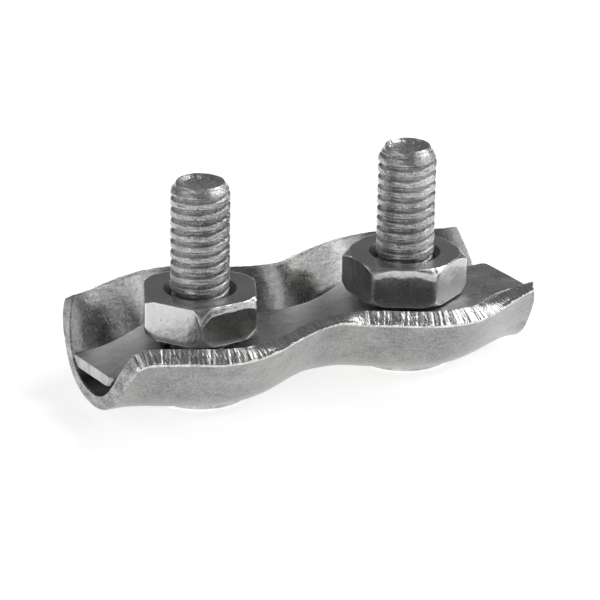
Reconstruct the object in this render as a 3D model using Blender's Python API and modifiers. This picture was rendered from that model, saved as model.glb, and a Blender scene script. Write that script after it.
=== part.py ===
"""Pressed double clip for wire rope: a wavy trough, a pressure plate, two M4 bolts and two thin nuts.

The origin is under the middle of the clip, on the plane that the two bolt heads rest on. +X runs along the
clip from the left bolt to the right one, +Y runs across it and +Z runs up along the bolts. Metres.
"""

from math import cos, pi, radians, sin, sqrt, tan

import bmesh
import bpy

MM = 0.001

# Layout
BOLT_SPACING = 14.54 * MM
BOLT_X = BOLT_SPACING / 2
GAP = 0.15 * MM  # air left between pieces that touch on the real clip

# M4 bolts with a low round head and a square neck that stops them from turning
THREAD_RADIUS = 1.88 * MM
BOLT_TOPS = {"bolt_left": 14.05 * MM, "bolt_right": 14.36 * MM}
BOLT_POINT = 0.45 * MM  # height and depth of the chamfer on the thread's end
HEAD_RADIUS = 3.4 * MM
HEAD_HEIGHT = 0.75 * MM
HEAD_EDGE = 0.3 * MM
NECK_WIDTH = 4.0 * MM
NECK_TOP = 1.6 * MM

# Thin hexagon nuts
NUT_ACROSS_FLATS = 7.0 * MM
NUT_HEIGHT = 2.6 * MM
NUT_TOPS = {"nut_left": 7.0 * MM, "nut_right": 7.15 * MM}
NUT_BORE_RADIUS = THREAD_RADIUS + GAP
NUT_COUNTERSINK = 2.3 * MM
NUT_FACE_RADIUS = 3.6 * MM  # outside this the end faces fall away, so only the corners are chamfered
NUT_CHAMFER_ANGLE = radians(50)
NUT_CORNERS = {"nut_left": radians(-113.8), "nut_right": radians(-148.6)}  # where one corner points, from +X

# Trough, given by its inside surface
RIM_SHEET = 1.2 * MM  # the sheet's thickness at the rim
FLOOR_SHEET = 0.85 * MM  # and in the floor, where pressing has thinned it
END_THINNING = 0.3  # share of the rim's extra thickness that is gone at the ends
RIM_Z = 5.75 * MM
WALL_ANGLE = radians(57)  # between the side walls and the floor
FLOOR_FILLET = 3.8 * MM
LEAST_FLAT = 0.15 * MM  # least half width of the floor's flat, where the trough is narrow
FLOOR_Z = 1.25 * MM  # inside, beside the bolts
WAIST_LIFT = 0.3 * MM  # how much higher the floor is at the waist
END_LIFT = 0.05 * MM  # and at the ends
WAIST_HALF = 4.75 * MM  # half of the inside width at the rim, at the waist
BULGE = 2.5 * MM  # how much more it is beside the bolts
END_FLARE = 0.3 * MM
END_REACH = 14.8 * MM  # half of the trough's length at its floor
END_SLANT = 0.85 * MM  # how much shorter it is at its rim
TROUGH_STATIONS = 44
TROUGH_ROWS = 16
FLAT_ROWS = 1 / 8  # share of the rows, from the middle out, on the flat of the floor
ARC_ROWS = 3 / 4  # share of the rows that ends where the wall runs straight
SEAT_RADIUS = HEAD_RADIUS + GAP
SEAT_Z = HEAD_HEIGHT + 0.1 * MM
NECK_HOLE = NECK_WIDTH + 2 * GAP

# Pressure plate. It lies loose in the trough, so it leans a little both ways until the nuts are tightened
PLATE = 0.72 * MM
PLATE_LENGTH = 29.6 * MM
PLATE_WAIST_HALF = 2.45 * MM
PLATE_BULGE = 2.95 * MM
PLATE_END_HALF = 2.75 * MM
PLATE_EDGE = 0.45 * MM  # how much narrower its underside is on each side
PLATE_CORNER = 0.4 * MM
PLATE_HOLE_RADIUS = 2.5 * MM
PLATE_CENTRE = (-0.15 * MM, -0.35 * MM, 3.84 * MM)  # middle of its top face
PLATE_ROLL = radians(-3.4)  # about X
PLATE_PITCH = radians(-2.56)  # about Y
PLATE_STATIONS = 40
PLATE_ROWS = 2

ROUND_SEGMENTS = 48
FIRST_CORNER = pi / 2  # a cone primitive's first corner is on +Y

ZINC = (0.62, 0.63, 0.64, 1.0)
BRIGHT_ZINC = (0.68, 0.68, 0.68, 1.0)
SHEARED_STEEL = (0.55, 0.55, 0.55, 1.0)


def material(name, colour, roughness):
    """A plain zinc plated metal."""
    made = bpy.data.materials.new(name)
    made.use_nodes = True
    shader = made.node_tree.nodes["Principled BSDF"]
    shader.inputs["Base Color"].default_value = colour
    shader.inputs["Metallic"].default_value = 1.0
    shader.inputs["Roughness"].default_value = roughness
    return made


def new_object(name, bm, collection, finish=None):
    """Turn a bmesh into an object in a collection."""
    mesh = bpy.data.meshes.new(name)
    bm.to_mesh(mesh)
    bm.free()
    made = bpy.data.objects.new(name, mesh)
    collection.objects.link(made)
    if finish:
        mesh.materials.append(finish)
    return made


def shade(made, angle=35):
    """Smooth shading with sharp edges kept."""
    made.data.shade_smooth()
    made.data.set_sharp_from_angle(angle=radians(angle))


def cutter(made):
    """Keep an object out of the build: it only cuts others."""
    made.hide_render = True
    made.display_type = "WIRE"
    return made


def boolean(made, other, operation):
    """Apply another object to this one as an exact Boolean modifier."""
    step = made.modifiers.new(operation.title() + " " + other.name, "BOOLEAN")
    step.operation = operation
    step.object = other
    step.solver = "EXACT"


def turned(name, profile, collection, finish=None):
    """A solid of revolution about Z, from an (radius, height) outline that runs down its outer side."""
    bm = bmesh.new()
    points = [bm.verts.new((radius, 0.0, height)) for radius, height in profile]
    for first, second in zip(points, points[1:]):
        bm.edges.new((first, second))
    made = new_object(name, bm, collection, finish)
    spin = made.modifiers.new("Turn", "SCREW")
    spin.axis = "Z"
    spin.steps = ROUND_SEGMENTS
    spin.render_steps = ROUND_SEGMENTS
    spin.use_merge_vertices = True
    spin.merge_threshold = 0.00001
    return made


def wave(x):
    """The shape of the bulges: 0 at the waist and near the ends, 1 beside each bolt."""
    return (1 - cos(2 * pi * x / BOLT_SPACING)) / 2


def trough_half_width(x):
    """Half of the trough's inside width at its rim."""
    outside = max(abs(x) - BOLT_X, 0.0) / (END_REACH - BOLT_X)
    return WAIST_HALF + BULGE * wave(x) + END_FLARE * outside**2


def floor_height(x):
    """Height of the trough's inside floor."""
    lift = WAIST_LIFT if abs(x) < BOLT_X else END_LIFT
    return FLOOR_Z + lift * (1 - wave(x))


def trough_section(x, across):
    """Point (y, z) of the inside surface. across runs from -1 at one rim through 0 to 1 at the other."""
    floor = floor_height(x)
    corner = trough_half_width(x) - (RIM_Z - floor) / tan(WALL_ANGLE)
    fillet = min(FLOOR_FILLET, (corner - LEAST_FLAT) / tan(WALL_ANGLE / 2))
    flat = corner - fillet * tan(WALL_ANGLE / 2)
    share = abs(across)
    if share <= FLAT_ROWS:
        y, z = flat * share / FLAT_ROWS, floor
    elif share <= ARC_ROWS:
        turn = WALL_ANGLE * (share - FLAT_ROWS) / (ARC_ROWS - FLAT_ROWS)
        y, z = flat + fillet * sin(turn), floor + fillet * (1 - cos(turn))
    else:
        climb = (share - ARC_ROWS) / (1 - ARC_ROWS)
        low = floor + fillet * (1 - cos(WALL_ANGLE))
        z = low + climb * (RIM_Z - low)
        y = trough_half_width(x) - (RIM_Z - z) / tan(WALL_ANGLE)
    return (y if across >= 0 else -y), z


def trough_point(along, across):
    """Point of the inside surface. Each end is a curve that leans back towards the rim."""
    x = along * END_REACH
    for _ in range(4):
        y, z = trough_section(x, across)
        rise = (z - FLOOR_Z) / (RIM_Z - FLOOR_Z)
        x = along * (END_REACH - END_SLANT * rise**2)
    return x, y, z


def grid(stations, rows, place):
    """A grid from -1 to 1 both ways, with each point then moved by place(along, across)."""
    bm = bmesh.new()
    bmesh.ops.create_grid(bm, x_segments=stations, y_segments=rows, size=1.0)
    for vert in bm.verts:
        vert.co = place(vert.co.x, vert.co.y)
    return bm


def make_base_channel(parts, cutters):
    """The pressed trough, with a square hole and a round seat for each bolt."""
    bm = grid(TROUGH_STATIONS, TROUGH_ROWS, trough_point)
    finish = material("zinc_trough", ZINC, 0.34)
    channel = new_object("base_channel", bm, parts, finish)
    shell = channel.modifiers.new("Sheet", "SOLIDIFY")
    shell.thickness = RIM_SHEET
    shell.offset = -1.0
    shell.use_even_offset = True
    shell.vertex_group = channel.vertex_groups.new(name="sheet").name
    for vert in channel.data.vertices:
        rise = min(max((vert.co.z - FLOOR_Z) / (RIM_Z - FLOOR_Z), 0.0), 1.0)
        thinning = 1 - END_THINNING * (abs(vert.co.x) / END_REACH) ** 8
        thickness = FLOOR_SHEET + (RIM_SHEET - FLOOR_SHEET) * rise * thinning
        channel.vertex_groups["sheet"].add([vert.index], thickness / RIM_SHEET, "REPLACE")
    for side, x in (("left", -BOLT_X), ("right", BOLT_X)):
        bm = bmesh.new()
        bmesh.ops.create_cube(bm, size=1.0)
        bmesh.ops.scale(bm, verts=bm.verts, vec=(NECK_HOLE, NECK_HOLE, 4 * FLOOR_SHEET))
        hole = cutter(new_object("neck_hole_" + side, bm, cutters))
        hole.location = (x, 0.0, FLOOR_Z)
        boolean(channel, hole, "DIFFERENCE")
        bm = bmesh.new()
        bmesh.ops.create_cone(
            bm, cap_ends=True, segments=ROUND_SEGMENTS,
            radius1=SEAT_RADIUS, radius2=SEAT_RADIUS, depth=HEAD_HEIGHT
        )
        seat = cutter(new_object("head_seat_" + side, bm, cutters))
        seat.location = (x, 0.0, SEAT_Z - HEAD_HEIGHT / 2)
        boolean(channel, seat, "DIFFERENCE")
    shade(channel)


def make_bolt(name, x, parts, cutters):
    """A bolt with its axis on its own Z: low round head, square neck and a shank to the thread's crests."""
    top = BOLT_TOPS[name]
    head = [
        (0.0, top),
        (THREAD_RADIUS - BOLT_POINT, top),
        (THREAD_RADIUS, top - BOLT_POINT),
        (THREAD_RADIUS, HEAD_HEIGHT),
        (HEAD_RADIUS, HEAD_HEIGHT),
        (HEAD_RADIUS, HEAD_EDGE),
        (HEAD_RADIUS - HEAD_EDGE * (1 - sqrt(0.5)), HEAD_EDGE * (1 - sqrt(0.5))),
        (HEAD_RADIUS - HEAD_EDGE, 0.0),
        (0.0, 0.0),
    ]
    bolt = turned(name, head, parts, material("zinc_" + name, BRIGHT_ZINC, 0.3))
    bolt.location = (x, 0.0, 0.0)
    bm = bmesh.new()
    bmesh.ops.create_cube(bm, size=1.0)
    bottom = HEAD_HEIGHT / 2
    bmesh.ops.scale(bm, verts=bm.verts, vec=(NECK_WIDTH, NECK_WIDTH, NECK_TOP - bottom))
    neck = cutter(new_object("neck_" + name, bm, cutters))
    neck.location = (x, 0.0, (NECK_TOP + bottom) / 2)
    boolean(bolt, neck, "UNION")
    shade(bolt)


def make_nut(name, x, parts, cutters):
    """A thin hexagon nut, chamfered top and bottom and bored to clear the thread. Its origin is on its axis."""
    corner_radius = NUT_ACROSS_FLATS / sqrt(3)
    bm = bmesh.new()
    bmesh.ops.create_cone(
        bm, cap_ends=True, segments=6, radius1=corner_radius, radius2=corner_radius, depth=NUT_HEIGHT
    )
    nut = new_object(name, bm, parts, material("zinc_" + name, BRIGHT_ZINC, 0.22))
    middle = NUT_TOPS[name] - NUT_HEIGHT / 2
    nut.location = (x, 0.0, middle)
    nut.rotation_euler = (0.0, 0.0, NUT_CORNERS[name] - FIRST_CORNER)

    half = NUT_HEIGHT / 2
    over = 0.2 * MM
    slope = tan(NUT_CHAMFER_ANGLE)
    wide = corner_radius + over
    drop = (wide - NUT_FACE_RADIUS) * slope
    lens = [
        (0.0, half + over),
        (NUT_FACE_RADIUS - over / slope, half + over),
        (wide, half - drop),
        (wide, drop - half),
        (NUT_FACE_RADIUS - over / slope, -half - over),
        (0.0, -half - over),
    ]
    chamfer = cutter(turned("chamfer_" + name, lens, cutters))
    sink = NUT_COUNTERSINK - NUT_BORE_RADIUS
    bore = [
        (0.0, half + over),
        (NUT_COUNTERSINK + over, half + over),
        (NUT_BORE_RADIUS, half - sink),
        (NUT_BORE_RADIUS, sink - half),
        (NUT_COUNTERSINK + over, -half - over),
        (0.0, -half - over),
    ]
    hole = cutter(turned("bore_" + name, bore, cutters))
    for tool, operation in ((chamfer, "INTERSECT"), (hole, "DIFFERENCE")):
        tool.location = (x, 0.0, middle)
        boolean(nut, tool, operation)
    shade(nut, 12)


def plate_half_width(x):
    """Half of the plate's width on its top face, with rounded corners at both ends."""
    outside = max(abs(x) - BOLT_X, 0.0) / (PLATE_LENGTH / 2 - BOLT_X)
    straight = PLATE_WAIST_HALF + (PLATE_END_HALF - PLATE_WAIST_HALF) * outside**2
    half = straight + PLATE_BULGE * wave(x) ** 1.25
    into_corner = min(max(abs(x) - (PLATE_LENGTH / 2 - PLATE_CORNER), 0.0), PLATE_CORNER)
    return half - PLATE_CORNER + sqrt(PLATE_CORNER**2 - into_corner**2)


def plate_point(along, across):
    """Point of the plate's top face; stations crowd towards the ends, where the corners are."""
    x = PLATE_LENGTH / 2 * sin(along * pi / 2)
    x = min(max(x, -PLATE_LENGTH / 2), PLATE_LENGTH / 2)
    return x, across * plate_half_width(x), 0.0


def make_pressure_plate(parts, cutters):
    """The wavy plate. Its lower edges slope in, so that it fits between the trough's leaning walls."""
    bm = grid(PLATE_STATIONS, PLATE_ROWS, plate_point)
    below = bmesh.ops.extrude_face_region(bm, geom=bm.faces[:])
    for vert in below["geom"]:
        if isinstance(vert, bmesh.types.BMVert):
            half = abs(vert.co.y)
            vert.co.y *= 1 - PLATE_EDGE / half if half > PLATE_EDGE else 1
            vert.co.z = -PLATE
    bmesh.ops.recalc_face_normals(bm, faces=bm.faces[:])
    plate = new_object("pressure_plate", bm, parts, material("zinc_plate", SHEARED_STEEL, 0.38))
    plate.location = PLATE_CENTRE
    plate.rotation_euler = (PLATE_ROLL, PLATE_PITCH, 0.0)
    for side, x in (("left", -BOLT_X), ("right", BOLT_X)):
        bm = bmesh.new()
        bmesh.ops.create_cone(
            bm,
            cap_ends=True,
            segments=ROUND_SEGMENTS,
            radius1=PLATE_HOLE_RADIUS,
            radius2=PLATE_HOLE_RADIUS,
            depth=4 * PLATE,
        )
        hole = cutter(new_object("plate_hole_" + side, bm, cutters))
        hole.parent = plate
        hole.location = (x, 0.0, -PLATE / 2)
        boolean(plate, hole, "DIFFERENCE")
    shade(plate)


def main():
    for old in list(bpy.data.objects):
        bpy.data.objects.remove(old, do_unlink=True)
    parts = bpy.data.collections.new("wire_rope_clip")
    cutters = bpy.data.collections.new("cutters")
    bpy.context.scene.collection.children.link(parts)
    bpy.context.scene.collection.children.link(cutters)
    make_base_channel(parts, cutters)
    make_pressure_plate(parts, cutters)
    for side, x in (("left", -BOLT_X), ("right", BOLT_X)):
        make_bolt("bolt_" + side, x, parts, cutters)
        make_nut("nut_" + side, x, parts, cutters)


main()
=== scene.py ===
"""Looks of the pressed double wire rope clip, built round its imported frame.

Lengths are in mm until a mesh is made.
"""

from math import cos, pi, radians, sin, sqrt, tan

import bmesh
import bpy
import numpy as np
from mathutils import Euler, Matrix, Vector


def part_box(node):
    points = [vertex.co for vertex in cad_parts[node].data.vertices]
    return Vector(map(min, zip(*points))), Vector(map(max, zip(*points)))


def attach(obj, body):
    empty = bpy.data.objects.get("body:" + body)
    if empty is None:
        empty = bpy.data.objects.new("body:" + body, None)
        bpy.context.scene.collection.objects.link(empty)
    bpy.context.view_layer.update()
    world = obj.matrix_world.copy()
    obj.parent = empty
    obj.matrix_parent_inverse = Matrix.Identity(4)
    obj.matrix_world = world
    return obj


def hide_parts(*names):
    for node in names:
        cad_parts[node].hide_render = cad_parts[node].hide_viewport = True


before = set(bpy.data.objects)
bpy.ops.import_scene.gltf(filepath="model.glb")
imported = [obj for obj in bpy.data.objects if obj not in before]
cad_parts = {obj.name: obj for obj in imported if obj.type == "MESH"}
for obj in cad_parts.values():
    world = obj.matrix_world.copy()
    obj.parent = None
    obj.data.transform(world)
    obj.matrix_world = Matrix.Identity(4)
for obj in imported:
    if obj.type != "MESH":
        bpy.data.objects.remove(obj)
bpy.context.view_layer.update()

MM = 0.001

# Where the frame puts things
LEFT_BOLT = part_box("bolt_left")
RIGHT_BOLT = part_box("bolt_right")
BOLT_X = (RIGHT_BOLT[0].x + RIGHT_BOLT[1].x) / 2 / MM
BOLT_TOPS = {"left": LEFT_BOLT[1].z / MM, "right": RIGHT_BOLT[1].z / MM}
TROUGH_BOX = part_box("base_channel")
PLATE_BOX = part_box("pressure_plate")

# Trough, by its inside surface
RIM_Z = 5.75
FAR_RIGHT_LIFT = 0.24  # how much higher the far rim is at its right end
WALL_ANGLE = radians(57)
FLOOR_FILLET = 3.8
FLOOR_Z = 1.25
WAIST_LIFT = 0.3
END_LIFT = 0.05
WAIST_HALF = 4.75
BULGE = 2.5
END_FLARE = 0.3
END_REACH = (TROUGH_BOX[1].x - TROUGH_BOX[0].x) / 2 / MM - 0.03
END_SLANT = 0.85  # how much shorter it is at its rim
ROUND_END = 0.12  # length over which each end is rounded
RIM_SHEET = 1.2
FLOOR_SHEET = 0.85
LEAST_FLAT = 0.15  # least half width of the floor's flat
FLAT_ROWS = 1 / 8  # share of the rows, from the middle out, on the flat
ARC_ROWS = 3 / 4  # share of the rows that ends where the wall runs straight
STATIONS = 601
FLOOR_ROWS = np.linspace(-0.75, 0.75, 37)
WALL_ROWS = np.array([0.79, 0.83, 0.87, 0.91, 0.95, 0.985, 1.0])
END_ANGLES = (radians(25), radians(50), radians(75), radians(90))  # of the rings that round each end
NECK_HOLE_HALF = 2.15
SEAT_RADIUS = 3.55
SEAT_Z = 0.85

# Cut rim: where its points lie across the sheet, and how flat the near one lies along the clip
CUT_SHARES = (0.03, 0.12, 0.27, 0.42, 0.57, 0.72, 0.86, 0.95, 0.985)
CUT_POINTS = len(CUT_SHARES)
BURR_FROM = 0.9  # share of the sheet's thickness where the burr begins
NEAR_CUT_X = (-9, -7, -5, -4, -3, -2, -1, 0, 1, 2, 8, 9, 10, 11, 12, 13)
NEAR_CUT_FLAT = (0, 0.4, 1.0, 1.1, 1.0, 0.87, 0.87, 0.8, 0.4, 0.06, 0.1, 0.35, 0.55, 0.78, 1.0, 1.15)

# Bolts. A profile is a row of (radius, height) or, for the dished end, (radius, depth below the top)
PITCH = 0.7
CREST = 1.86
THREAD_DEPTH = 0.28
THREAD_LIFT = 0.23  # shifts the helix up, to where the photograph shows its ridges
THREAD_END = 2.4
THREAD_STEP = 0.025
SHANK_RADIUS = CREST - 0.05
NECK_HALF = 2.0
NECK_CORNER = 2.7
NECK_TOP = 1.6
HEAD_TOP = 0.75
BOLT_SIDES = 120
BOLT_SEEDS = {"left": 90, "right": 95}
END_DISH = ((0.12, 0.2), (0.4, 0.21), (0.75, 0.2), (0.95, 0.18), (1.15, 0.12), (1.3, 0.03))
HEAD_PROFILE = (
    (3.1, 0.75), (3.26, 0.73), (3.3, 0.66), (3.3, 0.34), (3.24, 0.18), (3.1, 0.06), (2.95, 0.01),
    (2.0, 0.0), (0.5, 0.0),
)
# The end of each bolt: its radius, how fast the chamfer below it widens and how high its burr stands
POINTS = {"left": (1.5, 0.62, 0.025), "right": (1.42, 0.52, 0.06)}
BURR_SIDE = radians(120)

# Nuts: half the width across flats and the countersink. Then, for each nut, the direction of its front
# corner, the radius and slope of its top chamfer, the share of it that the other corners have, the width of
# the worn band on the flat that follows, and the radius and slope of its bottom chamfer
FLAT_RADIUS = 3.5
SINK_RADIUS = 2.3
SINK_SLOPE = 1.15
THREAD_CLEARANCE = 0.05
CORNER_FROM = 3.93  # distance from the axis where a corner's worn edge begins
SOFTNESS = 100  # a higher power gives a sharper corner
POINTS_PER_FLAT = 30
NUT_SEEDS = {"left": 40, "right": 50}
TOP_SHARES = (0.0, 0.25, 0.5, 0.75, 0.92, 1.0)
WALL_SHARES = (0, 0.04, 0.08, 0.11, 0.14, 0.17, 0.2, 0.24, 0.32, 0.45, 0.6, 0.75, 0.88, 1.0)
BORE_LOOPS = 90
NUTS = {
    "left": (radians(-113.8), 3.75, 2.6, 0.25, 0.15, 3.68, 2.0),
    "right": (radians(-148.6), 3.57, 0.77, 1.0, 0.07, 3.72, 1.3),
}

# Plate
PLATE = 0.72
PLATE_LENGTH = 29.6
PLATE_WAIST_HALF = 2.45
PLATE_BULGE = 2.95
PLATE_END_HALF = 2.75
PLATE_EDGE = 0.45  # how much narrower its underside is on each side
PLATE_CORNER = 0.4
PLATE_HOLE = 2.5
LEFT_SLANT = 0.22  # how much shorter its left end is on the near side
TIP = 0.5  # length at each end where the stations crowd
EDGE_DROP = 0.01  # how far its top falls at the edges
SIDE_PROFILE = (  # (distance in from the edge, height)
    (0.035, -0.02), (0.0, -0.07), (-0.01, -0.2), (0.08, -0.34), (0.22, -0.5), (0.37, -0.65), (0.43, -0.71)
)
END_LEVELS = (0.25, 0.5, 0.75)
PLATE_TURN = Euler((radians(-3.4), radians(-2.56), 0.0))

# Floor, light and camera. The camera was fitted to the bolts and nuts in the photograph
FLOOR_HALF = 1.5  # m
FLOOR_GLOW = 0.7
WORLD_STRENGTH = 0.16
SOFTBOXES = (  # name, azimuth and elevation (degrees), distance, width and height (m), strength
    ("key_high", 100, 50, 0.5, 0.3, 0.16, 4.2),
    ("key_low", 84, 20, 0.5, 0.14, 0.1, 2.4),
    ("key_middle", 62, 29, 0.5, 0.22, 0.12, 3.2),
    ("fill_front", 34, 38, 0.6, 0.26, 0.24, 1.3),
    ("fill_left", -62, 20, 0.6, 0.26, 0.24, 1.5),
    ("fill_back", 250, 45, 0.6, 0.3, 0.2, 0.9),
)
CAMERA_PLACE = Vector((-88.75, -171.05, 81.52))
CAMERA_RIGHT = Vector((0.89089, -0.45396, 0.01573))
CAMERA_UP = Vector((0.15464, 0.33569, 0.92920))
LENS = 195.92

LINE_DRAWS = 8192
PLANE_DRAWS = 256
DRAWS = {}


def draws(seed, shape):
    """The same random numbers from -1 to 1 for the same seed."""
    if (seed, shape) not in DRAWS:
        DRAWS[seed, shape] = np.random.default_rng(seed).uniform(-1, 1, shape)
    return DRAWS[seed, shape]


def wobble(x, step, seed):
    """Smooth random values from -1 to 1 along x, with a new one every step."""
    values = draws(seed, LINE_DRAWS)
    place = np.asarray(x, float) / step + LINE_DRAWS // 2
    left = np.floor(place).astype(int)
    part = place - left
    part = part * part * (3 - 2 * part)
    return values[left % LINE_DRAWS] * (1 - part) + values[(left + 1) % LINE_DRAWS] * part


def wobble2(x, y, step, seed):
    """Smooth random values from -1 to 1 over a plane."""
    count = PLANE_DRAWS
    values = draws(seed, (count, count))
    across = np.asarray(x, float) / step + count // 2
    along = np.asarray(y, float) / step + count // 2
    i, j = np.floor(across).astype(int), np.floor(along).astype(int)
    u, v = across - i, along - j
    u, v = u * u * (3 - 2 * u), v * v * (3 - 2 * v)
    i, after_i, j, after_j = i % count, (i + 1) % count, j % count, (j + 1) % count
    low = values[i, j] * (1 - u) + values[after_i, j] * u
    high = values[i, after_j] * (1 - u) + values[after_i, after_j] * u
    return low * (1 - v) + high * v


def ramp(value, low, high):
    """0 below low, 1 above high and smooth between."""
    part = np.clip((value - low) / (high - low), 0, 1)
    return part * part * (3 - 2 * part)


def mesh_object(name, points, faces, materials, slots=None, sharp=40, mask=None):
    """An object from points in mm. mask is each point's share of the finish's second colour, from 0 to 1."""
    mesh = bpy.data.meshes.new(name)
    mesh.from_pydata([tuple(point) for point in np.asarray(points) * MM], [], faces)
    for material in materials:
        mesh.materials.append(material)
    if slots is not None:
        mesh.polygons.foreach_set("material_index", slots)
    if mask is not None:
        mesh.attributes.new("mask", "FLOAT", "POINT").data.foreach_set("value", mask)
    mesh.validate()
    bm = bmesh.new()
    bm.from_mesh(mesh)
    bmesh.ops.recalc_face_normals(bm, faces=bm.faces[:])
    bm.to_mesh(mesh)
    bm.free()
    mesh.shade_smooth()
    mesh.set_sharp_from_angle(angle=radians(sharp))
    made = bpy.data.objects.new(name, mesh)
    bpy.context.scene.collection.objects.link(made)
    return made


def tube_faces(rings, sides, closed=False):
    """Quads between rings of points; closed also joins the last ring to the first."""
    faces = []
    for ring in range(rings if closed else rings - 1):
        first, second = ring * sides, (ring + 1) % rings * sides
        for side in range(sides):
            after = (side + 1) % sides
            faces.append((first + side, first + after, second + after, second + side))
    return faces


def round_axis(angles, x, radius, z):
    """Points round an upright axis at x. radius and z are each one value, or one for each angle."""
    radius = np.broadcast_to(radius, angles.shape)
    z = np.broadcast_to(z, angles.shape)
    return np.stack([x + radius * np.cos(angles), radius * np.sin(angles), z], axis=1)


def cut(made, cutter):
    """Take a closed mesh out of a piece and drop the cutter."""
    step = made.modifiers.new("Cut", "BOOLEAN")
    step.operation = "DIFFERENCE"
    step.object = cutter
    step.solver = "EXACT"
    graph = bpy.context.evaluated_depsgraph_get()
    graph.update()
    after = bpy.data.meshes.new_from_object(made.evaluated_get(graph))
    made.modifiers.clear()
    old = made.data
    made.data = after
    after.name = made.name
    bpy.data.meshes.remove(old)
    bpy.data.objects.remove(cutter, do_unlink=True)


def prism(name, radius, low, high, x, sides, material, turn=0.0):
    """A closed prism about an upright axis at x."""
    angles = [turn + 2 * pi * side / sides for side in range(sides)]
    points = [(x + radius * cos(a), radius * sin(a), z) for z in (low, high) for a in angles]
    faces = tube_faces(2, sides) + [tuple(range(sides)), tuple(range(sides, 2 * sides))]
    return mesh_object(name, points, faces, [material])


class Nodes:
    """A short way to write a node tree."""

    def __init__(self, name):
        self.material = bpy.data.materials.new(name)
        self.material.use_nodes = True
        self.tree = self.material.node_tree
        self.shader = self.tree.nodes["Principled BSDF"]

    def add(self, kind, links=(), **settings):
        node = self.tree.nodes.new(kind)
        for key, value in settings.items():
            setattr(node, key, value)
        for socket, value in dict(links).items():
            target = node.inputs[socket]
            if isinstance(value, bpy.types.NodeSocket):
                self.tree.links.new(value, target)
            else:
                target.default_value = value
        return node

    def link(self, source, socket):
        self.tree.links.new(source, self.shader.inputs[socket])

    def place(self, scale):
        """Object coordinates in mm, stretched by scale."""
        coordinate = self.add("ShaderNodeTexCoord")
        stretched = self.add("ShaderNodeMapping", {"Vector": coordinate.outputs["Object"]})
        stretched.inputs["Scale"].default_value = [1000.0 * part for part in scale]
        return stretched.outputs["Vector"]

    def noise(self, scale, size, detail=4.0, rough=0.55):
        links = {"Vector": self.place(scale), "Scale": size, "Detail": detail, "Roughness": rough}
        return self.add("ShaderNodeTexNoise", links).outputs["Fac"]

    def levels(self, value, low, high, to_low=0.0, to_high=1.0):
        links = {"Value": value, "From Min": low, "From Max": high, "To Min": to_low, "To Max": to_high}
        return self.add("ShaderNodeMapRange", links).outputs["Result"]

    def sums(self, operation, first, second):
        return self.add("ShaderNodeMath", {0: first, 1: second}, operation=operation).outputs[0]

    def tint(self, factor, dark, light):
        links = {"Factor": factor, 6: (*dark, 1.0), 7: (*light, 1.0)}
        return self.add("ShaderNodeMix", links, data_type="RGBA").outputs[2]

    def shade(self, first, second, factor):
        """Mix two colours by a factor."""
        links = {"Factor": factor, 6: first, 7: second}
        return self.add("ShaderNodeMix", links, data_type="RGBA").outputs[2]

    def bump(self, height, distance, strength=1.0, normal=None):
        links = {"Height": height, "Distance": distance * MM, "Strength": strength}
        if normal is not None:
            links["Normal"] = normal
        return self.add("ShaderNodeBump", links).outputs["Normal"]


def grey(value):
    return (value, value, value)


def zinc(name, dark, light, roughness, grain, grain_depth, pits=0.0, passivated=0.0, masked=None):
    """Zinc plate on steel: cloudy patches, fine grain along one way, small pits and a change of gloss.

    passivated is the strength of its faint yellow patches. masked is the grey of its second colour, which
    lies where the mesh's mask attribute is high: painted shade low inside the trough, and worn edges with
    painted highlight on the nuts.
    """
    nodes = Nodes(name)
    nodes.shader.inputs["Metallic"].default_value = 1.0
    clouds = nodes.noise((1, 1, 1), 0.45, 5.0, 0.6)
    specks = nodes.noise((1, 1, 1), 7.0, 3.0, 0.65)
    streaks = nodes.noise(grain, 4.0, 4.0, 0.6)
    cloudy = nodes.levels(clouds, 0.3, 0.7, 0.0, 0.5)
    tone = nodes.sums("ADD", cloudy, nodes.levels(streaks, 0.3, 0.7, 0.0, 0.3))
    tone = nodes.sums("ADD", tone, nodes.levels(specks, 0.35, 0.65, -0.2, 0.35))
    colour = nodes.tint(tone, dark, light)
    if passivated:
        yellow = nodes.levels(nodes.noise((1, 1, 1), 0.28, 2.0, 0.5), 0.56, 0.7, 0.0, passivated)
        colour = nodes.shade(colour, (0.46, 0.43, 0.33, 1.0), yellow)
    pit_mask = nodes.levels(nodes.noise((1, 1, 1), 4.5, 2.0, 0.5), 0.71, 0.76, 0.0, 1.0)
    if pits:
        colour = nodes.shade(colour, (0.1, 0.1, 0.1, 1.0), nodes.sums("MULTIPLY", pit_mask, pits))
    gloss = nodes.levels(clouds, 0.3, 0.7, roughness - 0.06, roughness + 0.07)
    gloss = nodes.sums("ADD", gloss, nodes.levels(specks, 0.3, 0.7, -0.04, 0.05))
    if masked:
        mask = nodes.add("ShaderNodeAttribute", attribute_name="mask").outputs["Fac"]
        share = nodes.sums("MULTIPLY", mask, 0.85)
        colour = nodes.shade(colour, (*grey(masked), 1.0), share)
        gloss = nodes.sums("ADD", gloss, nodes.sums("MULTIPLY", share, 0.2))
    nodes.link(colour, "Base Color")
    nodes.link(gloss, "Roughness")
    grained = nodes.sums("MULTIPLY", streaks, grain_depth)
    height = nodes.sums("ADD", grained, nodes.sums("MULTIPLY", specks, 0.5))
    if pits:
        height = nodes.sums("SUBTRACT", height, nodes.sums("MULTIPLY", pit_mask, 0.8))
    normal = nodes.bump(height, 0.012)
    undulation = nodes.noise((1, 1, 1), 1.3, 2.0, 0.5)
    nodes.link(nodes.bump(undulation, 0.03, 1.0, normal), "Normal")
    return nodes.material


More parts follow.
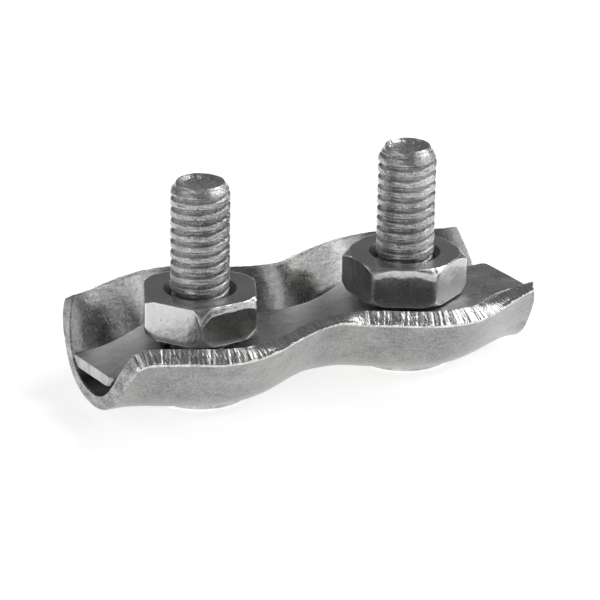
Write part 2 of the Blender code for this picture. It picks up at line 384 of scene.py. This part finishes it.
def sheared(name, dark, light, roughness, stretch):
    """A cut face: bright steel dragged into ridges across the sheet, some of them torn and dark."""
    nodes = Nodes(name)
    nodes.shader.inputs["Metallic"].default_value = 1.0
    ridges = nodes.noise(stretch, 9.0, 4.0, 0.65)
    broad = nodes.noise(stretch, 1.6, 3.0, 0.6)
    ridged = nodes.levels(ridges, 0.35, 0.65, 0.0, 0.65)
    tone = nodes.sums("ADD", ridged, nodes.levels(broad, 0.35, 0.65, -0.1, 0.45))
    nodes.link(nodes.tint(tone, dark, light), "Base Color")
    nodes.link(nodes.levels(broad, 0.3, 0.7, roughness + 0.06, roughness - 0.06), "Roughness")
    nodes.link(nodes.bump(ridges, 0.03), "Normal")
    return nodes.material


# The trough's near-black second colour is painted shade, low inside the trough.
TROUGH_ZINC = zinc(
    "zinc_trough_satin", grey(0.18), grey(0.44), 0.27, (0.25, 1, 1), 0.8,
    pits=0.6, passivated=0.3, masked=0.09,
)
PLATE_ZINC = zinc(
    "zinc_plate_satin", grey(0.34), (0.74, 0.74, 0.73), 0.43, (0.15, 1, 1), 2.4, pits=0.8, passivated=0.2
)
# The nut's near-white second colour lies on its edges: worn zinc, and painted highlight.
NUT_ZINC = zinc("zinc_nut_bright", grey(0.5), grey(0.7), 0.21, (1, 1, 0.25), 0.4, pits=0.5, masked=0.95)
# A darker zinc for the bore and countersink: painted shade in the recess.
BORE_PAINTED_SHADE = zinc("zinc_bore_painted_shade", grey(0.12), grey(0.3), 0.4, (1, 1, 3), 0.5)
BOLT_ZINC = zinc("zinc_bolt_rolled", grey(0.24), (0.84, 0.84, 0.83), 0.32, (0.5, 0.5, 4), 3.0, pits=0.5)
# A lighter copy of the bolt's zinc for its upward end: painted highlight.
POINT_ZINC_PAINTED_HIGHLIGHT = zinc("zinc_bolt_end_painted_highlight", grey(0.42), (0.97, 0.97, 0.96), 0.3, (1, 0.4, 1), 4.0, pits=0.4)
CUT_ZINC = sheared("zinc_cut_ridged", grey(0.38), (0.9, 0.9, 0.89), 0.2, (1, 0.12, 0.12))
END_ZINC = sheared("zinc_end_ridged", grey(0.16), grey(0.6), 0.32, (0.15, 0.5, 1.2))
PLATE_CUT = sheared("zinc_plate_cut", grey(0.22), grey(0.6), 0.3, (1, 0.2, 0.2))
PLATE_END = sheared("zinc_plate_end", grey(0.38), grey(0.66), 0.34, (0.2, 1, 0.15))


def wave(x):
    """The shape of the bulges: 0 at the waist and near the ends, 1 beside each bolt."""
    return (1 - np.cos(pi * x / BOLT_X)) / 2


def trough_half_width(x):
    """Half of the trough's inside width at its rim."""
    outside = max(abs(x) - BOLT_X, 0.0) / (END_REACH - BOLT_X)
    return WAIST_HALF + BULGE * wave(x) + END_FLARE * outside**2


def rim_height(x, across):
    """Height of a rim: a little ragged, and worn down at the near left corner."""
    lift = FAR_RIGHT_LIFT * float(ramp(x, 6.0, 12.5)) if across > 0 else 0.0
    side = 1 if across > 0 else 2
    ragged = 0.03 * wobble(x, 2.6, side) + 0.014 * wobble(x, 0.5, side + 2)
    ragged = ragged + 0.012 * wobble(x, 0.12, side + 6)
    worn_corner = 0.3 * float(np.clip((-x - 13.2) / 0.7, 0, 1)) ** 2 if across < 0 else 0.0
    return RIM_Z + lift + float(ragged) - worn_corner


def trough_section(x, across):
    """Point (y, z) of the inside surface; across runs from -1 at the near rim to 1 at the far one."""
    rim = rim_height(x, across)
    floor = FLOOR_Z + (WAIST_LIFT if abs(x) < BOLT_X else END_LIFT) * (1 - wave(x))
    corner = trough_half_width(x) - (RIM_Z - floor) / tan(WALL_ANGLE)
    fillet = min(FLOOR_FILLET, (corner - LEAST_FLAT) / tan(WALL_ANGLE / 2))
    flat = corner - fillet * tan(WALL_ANGLE / 2)
    share = abs(across)
    if share <= FLAT_ROWS:
        y, z = flat * share / FLAT_ROWS, floor
    elif share <= ARC_ROWS:
        turn = WALL_ANGLE * (share - FLAT_ROWS) / (ARC_ROWS - FLAT_ROWS)
        y, z = flat + fillet * sin(turn), floor + fillet * (1 - cos(turn))
    else:
        climb = (share - ARC_ROWS) / (1 - ARC_ROWS)
        low = floor + fillet * (1 - cos(WALL_ANGLE))
        z = low + climb * (rim - low)
        y = trough_half_width(x) - (RIM_Z - z) / tan(WALL_ANGLE)
    return (y if across >= 0 else -y), z


def trough_point(along, across):
    """Point of the inside surface. Each end is a curve that leans back towards the rim."""
    x = along * (END_REACH - ROUND_END)
    for _ in range(4):
        y, z = trough_section(x, across)
        rise = (z - FLOOR_Z) / (RIM_Z - FLOOR_Z)
        x = END_REACH - ROUND_END - END_SLANT * rise**2
        if across > 0:
            x += -0.3 * rise**8 if along < 0 else 0.25 * rise**2
        x *= along
    return x, y, z


def make_trough():
    """The pressed sheet as rings round its section, with ridged cut rims, burrs and rounded ends."""
    stations = np.linspace(-1, 1, STATIONS)
    rows = np.concatenate([-WALL_ROWS[::-1], FLOOR_ROWS, WALL_ROWS])
    inner = np.array([[trough_point(a, c) for c in rows] for a in stations])
    along = np.gradient(inner, axis=0)
    across = np.gradient(inner, axis=1)
    up = np.cross(along, across)
    up /= np.linalg.norm(up, axis=2, keepdims=True)
    rise = np.clip((inner[..., 2] - FLOOR_Z) / (RIM_Z - FLOOR_Z), 0, 1)
    thick = FLOOR_SHEET + (RIM_SHEET - FLOOR_SHEET) * rise
    dents = 0.015 * wobble2(inner[..., 0], inner[..., 1], 1.7, 5)
    inner = inner + up * dents[..., None]
    outer = inner - up * thick[..., None]

    # The near rim's cut lies flatter in the waist and towards the right end. Outside, the sheet is shorter
    # at the right end, and the far wall is longer at the left end
    x = inner[..., 0]
    near = rows[None, :] < 0
    flat_cut = np.interp(x, NEAR_CUT_X, NEAR_CUT_FLAT) * ramp(rise, 0.55, 1.0) * near
    outer[..., 2] += 0.55 * flat_cut
    outer[..., 1] -= 0.13 * flat_cut
    back_right = ramp(x, 12.6, 14.9) * (0.25 + 0.35 * rise)
    outer[..., 0] -= back_right + 0.2 * ramp(-x, 12.5, 14.4) * rise * (rows > 0)
    corner = ramp(x, 12.9, 14.2) * ramp(rise, 0.8, 1.0) * near
    outer[..., 0] -= 0.3 * corner
    outer[..., 1] += 0.45 * corner

    count = len(rows)

    def cut_face(side):
        """The rim's inner edge, the way from there through the sheet, and the way out of the cut."""
        rim_in, rim_out = inner[:, side], outer[:, side]
        off = across[:, side] * (1 if side else -1)
        through = rim_out - rim_in
        width = np.linalg.norm(through, axis=1, keepdims=True)
        off = off - through * (off * through).sum(1, keepdims=True) / width**2
        off /= np.linalg.norm(off, axis=1, keepdims=True)
        return rim_in, through, off

    sides = []
    for side in (count - 1, 0):
        rim_in, through, off = cut_face(side)
        place = inner[:, side, 0]
        seed = 20 + side
        points = []
        for number, share in enumerate(CUT_SHARES):
            slanted = place + 0.04 * share
            ridges = 0.007 * wobble(slanted, 0.06, seed) + 0.011 * wobble(slanted, 0.12, seed + 1)
            ridges = ridges + 0.016 * wobble(slanted, 0.42, seed + 2)
            ridges = ridges * (0.45 + 0.55 * min(share * 4, 1))
            ridges = ridges + 0.006 * wobble(place, 0.06, seed + 3 + number)
            # They are fainter between the waist and the right bolt
            ridges = ridges * np.interp(place, (0.5, 2.0, 6.5, 8.0), (1.0, 0.65, 0.65, 1.0))
            crown = 0.05 * sin(pi * share)
            burr = 0.0
            if share > BURR_FROM:
                burr = 0.035 + 0.03 * np.maximum(wobble(place, 0.35, seed + 30), -0.4)
            height = ridges + crown + burr
            points.append(rim_in + through * share + off * np.asarray(height)[:, None])
        sides.append(points)
    far_cut, near_cut = sides
    ring = [inner[:, row] for row in range(count)] + far_cut
    ring += [outer[:, row] for row in reversed(range(count))] + near_cut[::-1]
    rings = np.stack(ring, axis=1)
    size = rings.shape[1]

    # Rounded ends: each further ring is drawn in towards the middle of the sheet. A point's partner lies
    # across the sheet from it, and a point of a cut rim has none
    partner = {}
    for row in range(count):
        partner[row] = count + CUT_POINTS + (count - 1 - row)
        partner[count + CUT_POINTS + (count - 1 - row)] = row
    middle_far = (count - 1, count + CUT_POINTS)
    middle_near = (0, 2 * count + CUT_POINTS - 1)

    def drawn_in(base, outward, angle):
        """One ring of a rounded end; angle runs from 0 on the sheet to a quarter turn on the end face."""
        made = base.copy()
        for index in range(size):
            other = partner.get(index)
            if other is None:
                pair = middle_far if index < count + CUT_POINTS else middle_near
                towards = (base[pair[0]] + base[pair[1]]) / 2 - base[index]
                inset = ROUND_END * 1.2
            else:
                towards = base[other] - base[index]
                inset = ROUND_END * (2.0 if index >= count else 0.1)
            length = np.linalg.norm(towards)
            made[index] += towards / max(length, 0.05) * inset * (1 - cos(angle))
        made[:, 0] += outward * ROUND_END * sin(angle)
        return made

    left = [drawn_in(rings[0], -1, angle) for angle in END_ANGLES]
    right = [drawn_in(rings[-1], 1, angle) for angle in END_ANGLES]
    round_rim = np.arange(size) * 0.35
    rough_end = 0.02 * wobble(round_rim, 0.8, 71) + 0.012 * wobble(round_rim, 0.35, 72)
    left[-1][:, 0] += rough_end
    right[-1][:, 0] += rough_end[::-1]
    rings = np.concatenate([np.stack(left[::-1]), rings, np.stack(right)])
    total = len(rings)
    faces = tube_faces(total, size)
    slots = []
    ends = len(END_ANGLES)
    cut_starts = (count - 1, 2 * count + CUT_POINTS - 1)
    for station in range(total - 1):
        for side in range(size):
            on_cut = any(start - 1 <= side <= start + CUT_POINTS for start in cut_starts)
            at_end = station < ends or station >= total - 1 - ends
            far_edge = count - 2 <= side <= count
            slots.append(2 if far_edge else 1 if on_cut else 2 if at_end else 0)
    for first in (0, (total - 1) * size):
        for row in range(count - 1):
            faces.append(tuple(first + k for k in (row, row + 1, partner[row + 1], partner[row])))
            slots.append(2)
        faces.append(tuple(first + k for k in range(count - 1, count + CUT_POINTS + 1)))
        near_corner = [*range(2 * count + CUT_POINTS - 1, size), 0]
        faces.append(tuple(first + k for k in near_corner))
        slots += [2, 2]
    # Painted shade: low inside the trough, down under the plate, the sheet takes its near-black second
    # colour, more strongly towards the ends.
    painted_shade = np.zeros((total, size))
    shaded_low_inside = (1 - ramp(rise, 0.08, 0.42)) * (0.6 + 0.4 * ramp(np.abs(x), 11.0, 14.0))
    painted_shade[ends:-ends, :count] = shaded_low_inside
    painted_shade[:ends, :count] = shaded_low_inside[0]
    painted_shade[-ends:, :count] = shaded_low_inside[-1]
    finishes = [TROUGH_ZINC, CUT_ZINC, END_ZINC]
    made = mesh_object("trough", rings.reshape(-1, 3), faces, finishes, slots, 30, painted_shade.ravel())
    for x in (-BOLT_X, BOLT_X):
        cut(made, prism("neck_cutter", NECK_HOLE_HALF * sqrt(2), 0.6, 3.0, x, 4, TROUGH_ZINC, pi / 4))
        cut(made, prism("seat_cutter", SEAT_RADIUS, -0.5, SEAT_Z, x, 96, TROUGH_ZINC))
    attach(made, "base")
    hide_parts("base_channel")


def thread_radius(angle, z):
    """Radius of the rolled thread. A right-hand helix climbs as the angle grows."""
    turn = (z - THREAD_LIFT) / PITCH - angle / (2 * pi)
    ridge = 1 - np.abs(2 * (turn - np.floor(turn)) - 1)
    return CREST - THREAD_DEPTH * (1 - ramp(ridge, 0.03, 0.55))


def make_bolt(side, x):
    """Threaded shank with a dished and chamfered end, a square neck and a low round head, as rings."""
    angles = np.arange(BOLT_SIDES) * 2 * pi / BOLT_SIDES
    top = BOLT_TOPS[side]
    rings = []

    def ring(radius, z):
        rings.append(round_axis(angles, x, radius, z))

    seed = BOLT_SEEDS[side]
    ragged = 0.03 * wobble(angles, 0.45, seed) + 0.015 * wobble(angles, 0.15, seed + 1)
    for radius, drop in END_DISH:
        ring(radius, top - drop + ragged * radius - 0.03)
    point, widening, burr_height = POINTS[side]
    burr = burr_height * np.clip(np.cos(angles - BURR_SIDE) * 1.6 - 0.7, 0, 1)
    ring(point - 0.09, top + ragged * 0.5 - 0.03 + burr * 0.6)
    ring(point - 0.04, top + ragged * 0.5 - 0.02 + burr)
    ring(point, top - 0.03 + ragged * 0.5 + burr * 0.5)
    ring(point + 0.08, top - 0.16 + ragged * 0.5)
    ring(point + 0.12, top - 0.3 + ragged * 0.5)
    end_rings = len(rings)
    for z in np.arange(top - 0.36, THREAD_END, -THREAD_STEP):
        cone = point + 0.02 + (top - z) * widening
        level = np.full(BOLT_SIDES, z)
        radius = thread_radius(angles, z)
        radius = radius + 0.02 * wobble2(angles * 0.12, level, 0.06, seed + 2)
        worn = 0.05 * ramp(wobble2(angles * 1.9, level, 0.5, seed + 3), 0.3, 1.0)
        ring(np.minimum(radius - worn, cone), z)
    ring(SHANK_RADIUS, THREAD_END - 0.2)
    ring(SHANK_RADIUS, NECK_TOP + 0.02)
    square = NECK_HALF / np.maximum(np.abs(np.cos(angles)), np.abs(np.sin(angles)))
    square = np.minimum(square, NECK_CORNER)
    ring(square - 0.05, NECK_TOP)
    ring(square, NECK_TOP - 0.05)
    ring(square, HEAD_TOP)
    for radius, z in HEAD_PROFILE:
        ring(radius, z)
    points = np.concatenate(rings)
    faces = tube_faces(len(rings), BOLT_SIDES)
    last = (len(rings) - 1) * BOLT_SIDES
    faces += [tuple(range(BOLT_SIDES)), tuple(range(last, last + BOLT_SIDES))]
    # The dished end and its chamfer take the lighter zinc, a painted highlight.
    slots = [1 if face < end_rings * BOLT_SIDES else 0 for face in range(len(faces))]
    slots[-2] = 1
    made = mesh_object("bolt_" + side + "_threaded", points, faces, [BOLT_ZINC, POINT_ZINC_PAINTED_HIGHLIGHT], slots, 50)
    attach(made, "base")
    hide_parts("bolt_" + side)


def make_nut(side, x):
    """A hexagon nut: chamfered corners, soft edges, a countersink and a thread that follows the bolt's."""
    corner, top_radius, top_slope, other_corners, band_width, low_radius, low_slope = NUTS[side]
    low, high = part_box("nut_" + side)
    bottom, top = low.z / MM, high.z / MM
    steps = np.sin(np.linspace(-pi / 2, pi / 2, POINTS_PER_FLAT + 1)[:-1]) * pi / 6
    angles = np.concatenate([corner + pi / 6 + flat * pi / 3 + steps for flat in range(6)])
    reach = np.zeros_like(angles)
    for flat in range(6):
        reach += np.maximum(np.cos(angles - corner - pi / 6 - flat * pi / 3), 0) ** SOFTNESS
    outline = FLAT_RADIUS * reach ** (-1 / SOFTNESS)
    loops, wear_and_highlight = [], []
    at_corner = np.clip((outline - CORNER_FROM) / 0.06, 0, 1)

    # worn is a loop's share of the nut's near-white second colour: real rubbed edges, and painted highlight
    # along the chamfer edges and corners.
    def loop(radius, z, worn=0.0):
        loops.append(round_axis(angles, x, radius, z))
        wear_and_highlight.append(np.broadcast_to(worn, angles.shape))

    seed = NUT_SEEDS[side]
    nicks = 0.02 * np.maximum(wobble(angles, 0.07, seed), 0) ** 2 + 0.012 * wobble(angles, 0.3, seed + 1)
    edge_top = np.minimum(outline, top_radius)
    off_front = np.abs((angles - corner + pi) % (2 * pi) - pi)
    front = np.exp(-((off_front / radians(25)) ** 2))
    corner_share = other_corners + (1 - other_corners) * front
    drop_top = np.maximum(outline - top_radius, 0) * top_slope * corner_share
    band = band_width * (0.75 + 0.25 * wobble(angles, 0.5, seed + 2))
    band = band * np.clip(np.cos(angles - corner - pi / 6) * 40 - 33, 0.12, 1)
    for share in TOP_SHARES:
        radius = SINK_RADIUS + (edge_top - 0.09 - band - SINK_RADIUS) * share
        loop(radius, top - 0.004 * sin(share * 40))
    loop(edge_top - 0.03 - band, top - 0.02 - nicks * 0.5, 0.5)
    loop((edge_top + outline) / 2 - band, top - drop_top / 2 - 0.045 - nicks)
    loop(outline - 0.005 - band * 0.95, top - drop_top - 0.06 - nicks, 1.0)
    wall_top = top - drop_top - 0.12 - nicks
    edge_low = np.minimum(outline, low_radius)
    rise_low = np.maximum(outline - low_radius, 0) * low_slope
    wall_low = bottom + rise_low + 0.12
    band_low = 0.36 + 0.06 * wobble(angles, 0.13, seed + 3) + 0.03 * wobble(angles, 0.04, seed + 4)
    for share in WALL_SHARES:
        z = wall_top + (wall_low - wall_top) * share
        inset = band * 0.9 * np.clip(1 - (wall_top - z) / band_low, 0, 1)
        # The corners take the near-white colour: worn edges, and painted highlight.
        worn = at_corner * (0.6 + 0.4 * wobble(z, 0.2, seed + 5))
        loop(outline - inset - 0.012 * sin(pi * share), z, worn)
    loop(outline - 0.01, bottom + rise_low + 0.06, 0.6)
    loop((edge_low + outline) / 2, bottom + rise_low / 2 + 0.04)
    loop(edge_low - 0.03, bottom + 0.02)
    loop(edge_low - 0.1, bottom)
    for share in (0.7, 0.35, 0.0):
        loop(SINK_RADIUS + (edge_low - 0.1 - SINK_RADIUS) * share, bottom)
    for z in np.linspace(bottom + 0.02, top - 0.02, BORE_LOOPS):
        sink = SINK_RADIUS - np.minimum(z - bottom, top - z) * SINK_SLOPE
        loop(np.maximum(thread_radius(angles, z) + THREAD_CLEARANCE, sink), z)
    points = np.concatenate(loops)
    faces = tube_faces(len(loops), len(angles), closed=True)
    bored = len(loops) - BORE_LOOPS
    slots = [1 if face // len(angles) >= bored - 1 else 0 for face in range(len(faces))]
    # The bore and countersink take the dark zinc: painted shade in the recess.
    finishes = [NUT_ZINC, BORE_PAINTED_SHADE]
    worn = np.concatenate(wear_and_highlight)
    made = mesh_object("nut_" + side + "_hexagon", points, faces, finishes, slots, 28, worn)
    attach(made, side + "_nut")
    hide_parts("nut_" + side)


def plate_half_width(x):
    """Half of the plate's width, with rounded corners at both ends."""
    outside = max(abs(x) - BOLT_X, 0.0) / (PLATE_LENGTH / 2 - BOLT_X)
    straight = PLATE_WAIST_HALF + (PLATE_END_HALF - PLATE_WAIST_HALF) * outside**2
    half = straight + PLATE_BULGE * wave(x) ** 1.25
    into = min(max(abs(x) - (PLATE_LENGTH / 2 - PLATE_CORNER), 0.0), PLATE_CORNER)
    return half - PLATE_CORNER + sqrt(PLATE_CORNER**2 - into**2)


def make_plate():
    """The blanked plate: rolled upper edges, ridged cut sides that slope in, and a hole round each bolt."""
    half_length = PLATE_LENGTH / 2
    inside = np.linspace(-half_length + TIP, half_length - TIP, 420)
    tips = np.linspace(0, 1, 9)[1:]
    right = half_length - TIP + TIP * np.sin(tips * pi / 2)
    xs = np.concatenate([-right[::-1], inside, right])
    half = np.array([plate_half_width(x) for x in xs])
    shares = np.linspace(-1, 1, 29)
    ridges = {}
    for side, seed in ((-1, 61), (1, 66)):
        ridges[side] = 0.008 * wobble(xs, 0.08, seed) + 0.014 * wobble(xs, 0.25, seed + 1)
    points = []

    def column(y, z):
        points.append(np.stack([xs, y, np.broadcast_to(z, xs.shape)], axis=1))

    for share in shares:
        y = share * (half - 0.1)
        sag = 0.01 * wobble2(xs, y, 2.1, 63)
        column(y, sag - EDGE_DROP * max(0, abs(share) - 0.93) / 0.07)
    for inset, z in SIDE_PROFILE:
        column(half - inset - ridges[1], z)
    for share in shares[::-1]:
        column(share * (half - PLATE_EDGE - 0.08), -PLATE)
    for inset, z in SIDE_PROFILE[::-1]:
        column(-(half - inset - ridges[-1]), z)
    rings = np.stack(points, axis=1)
    size = rings.shape[1]
    total = len(xs)
    faces = tube_faces(total, size)
    slots = []
    top_rows, edge_rows = len(shares), len(SIDE_PROFILE)
    for station in range(total - 1):
        for side in range(size):
            on_top = side < top_rows - 1
            on_bottom = top_rows + edge_rows <= side < 2 * top_rows + edge_rows - 1
            slots.append(0 if on_top or on_bottom else 1)
    nearness = 1 - rings[..., 1] / PLATE_END_HALF
    rings[..., 0] += LEFT_SLANT * ramp(-rings[..., 0], 9.0, half_length) * nearness / 2
    # The end faces stand between the top and bottom rows, with rows of their own at the end levels
    flat = rings.reshape(-1, 3).tolist()
    for first, outward in ((0, -1), ((total - 1) * size, 1)):
        upper_row = [first + k for k in range(top_rows)]
        ends = [first + k for k in range(2 * top_rows + edge_rows - 1, top_rows + edge_rows - 1, -1)]
        columns = []
        for level in END_LEVELS:
            made = []
            for k in range(top_rows):
                upper, lower = flat[first + k], flat[ends[k]]
                point = [upper[a] + (lower[a] - upper[a]) * level for a in range(3)]
                rough = float(wobble(shares[k] * 3 + outward * 40, 0.12, 67)) * 0.02
                point[0] = upper[0] + outward * (0.03 + rough)
                made.append(len(flat))
                flat.append(point)
            columns.append(made)
        grid = [upper_row, *columns, ends]
        for upper, lower in zip(grid, grid[1:]):
            for k in range(top_rows - 1):
                faces.append((upper[k], upper[k + 1], lower[k + 1], lower[k]))
                slots.append(2)
        far_edge = [first + k for k in range(top_rows - 1, top_rows + edge_rows + 1)]
        faces.append(tuple(far_edge + [column[-1] for column in columns[::-1]]))
        near_edge = [first + k for k in range(2 * top_rows + edge_rows - 1, size)] + [first]
        faces.append(tuple(near_edge + [column[0] for column in columns]))
        slots += [2, 2]
    made = mesh_object("plate", flat, faces, [PLATE_ZINC, PLATE_CUT, PLATE_END], slots, 30)
    for x in (-BOLT_X, BOLT_X):
        cut(made, prism("hole_cutter", PLATE_HOLE, -2.0, 1.0, x, 96, PLATE_CUT))
    centre = (PLATE_BOX[0] + PLATE_BOX[1]) / 2
    turned = PLATE_TURN.to_matrix().to_4x4()
    half_down = turned @ Vector((0.0, 0.0, -PLATE / 2 * MM))
    made.data.transform(Matrix.Translation(centre - half_down) @ turned)
    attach(made, "plate")
    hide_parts("pressure_plate")


def make_floor():
    """A pale floor that glows a little, so that it stays near white."""
    material = bpy.data.materials.new("floor_pale")
    material.use_nodes = True
    shader = material.node_tree.nodes["Principled BSDF"]
    shader.inputs["Base Color"].default_value = (0.9, 0.9, 0.9, 1.0)
    shader.inputs["Roughness"].default_value = 0.9
    shader.inputs["Emission Color"].default_value = (1.0, 1.0, 1.0, 1.0)
    shader.inputs["Emission Strength"].default_value = FLOOR_GLOW
    mesh = bpy.data.meshes.new("floor")
    corners = [(x * FLOOR_HALF, y * FLOOR_HALF, 0) for x, y in ((-1, -1), (1, -1), (1, 1), (-1, 1))]
    mesh.from_pydata(corners, [], [(0, 1, 2, 3)])
    mesh.materials.append(material)
    floor = bpy.data.objects.new("floor", mesh)
    bpy.context.scene.collection.objects.link(floor)


def softbox(name, azimuth, elevation, distance, width, height, strength):
    """A soft light that faces the clip. Azimuth 0 is on the camera's side along -Y and 90 is along +X."""
    light = bpy.data.lights.new(name, "AREA")
    light.shape = "RECTANGLE"
    light.size = width
    light.size_y = height
    light.energy = strength * pi * width * height
    light.color = (1.0, 1.0, 1.0)
    lamp = bpy.data.objects.new(name, light)
    a, e = radians(azimuth), radians(elevation)
    place = Vector((sin(a) * cos(e), -cos(a) * cos(e), sin(e)))
    lamp.location = place * distance
    lamp.rotation_mode = "QUATERNION"
    lamp.rotation_quaternion = (-place).to_track_quat("-Z", "Y")
    bpy.context.scene.collection.objects.link(lamp)


def make_light():
    """A dim white world and the softboxes."""
    world = bpy.data.worlds.new("studio")
    world.use_nodes = True
    bpy.context.scene.world = world
    background = world.node_tree.nodes["Background"]
    background.inputs["Color"].default_value = (1.0, 1.0, 1.0, 1.0)
    background.inputs["Strength"].default_value = WORLD_STRENGTH
    for box in SOFTBOXES:
        softbox(*box)


def make_camera():
    """The photograph's view: 27.4 degrees to the left, 21.7 degrees up and rolled by about 1 degree."""
    data = bpy.data.cameras.new("camera")
    data.sensor_width = 36.0
    data.lens = LENS
    data.clip_start = 0.02
    data.clip_end = 10.0
    camera = bpy.data.objects.new("camera", data)
    right = CAMERA_RIGHT.normalized()
    back = right.cross(CAMERA_UP).normalized()
    up = back.cross(right)
    turn = Matrix((right, up, back)).transposed().to_4x4()
    camera.matrix_world = Matrix.Translation(CAMERA_PLACE * MM) @ turn
    bpy.context.scene.collection.objects.link(camera)
    bpy.context.scene.camera = camera


make_camera()
make_trough()
make_plate()
for side, x in (("left", -BOLT_X), ("right", BOLT_X)):
    make_bolt(side, x)
    make_nut(side, x)
make_floor()
make_light()
bpy.context.scene.view_settings.view_transform = "Standard"
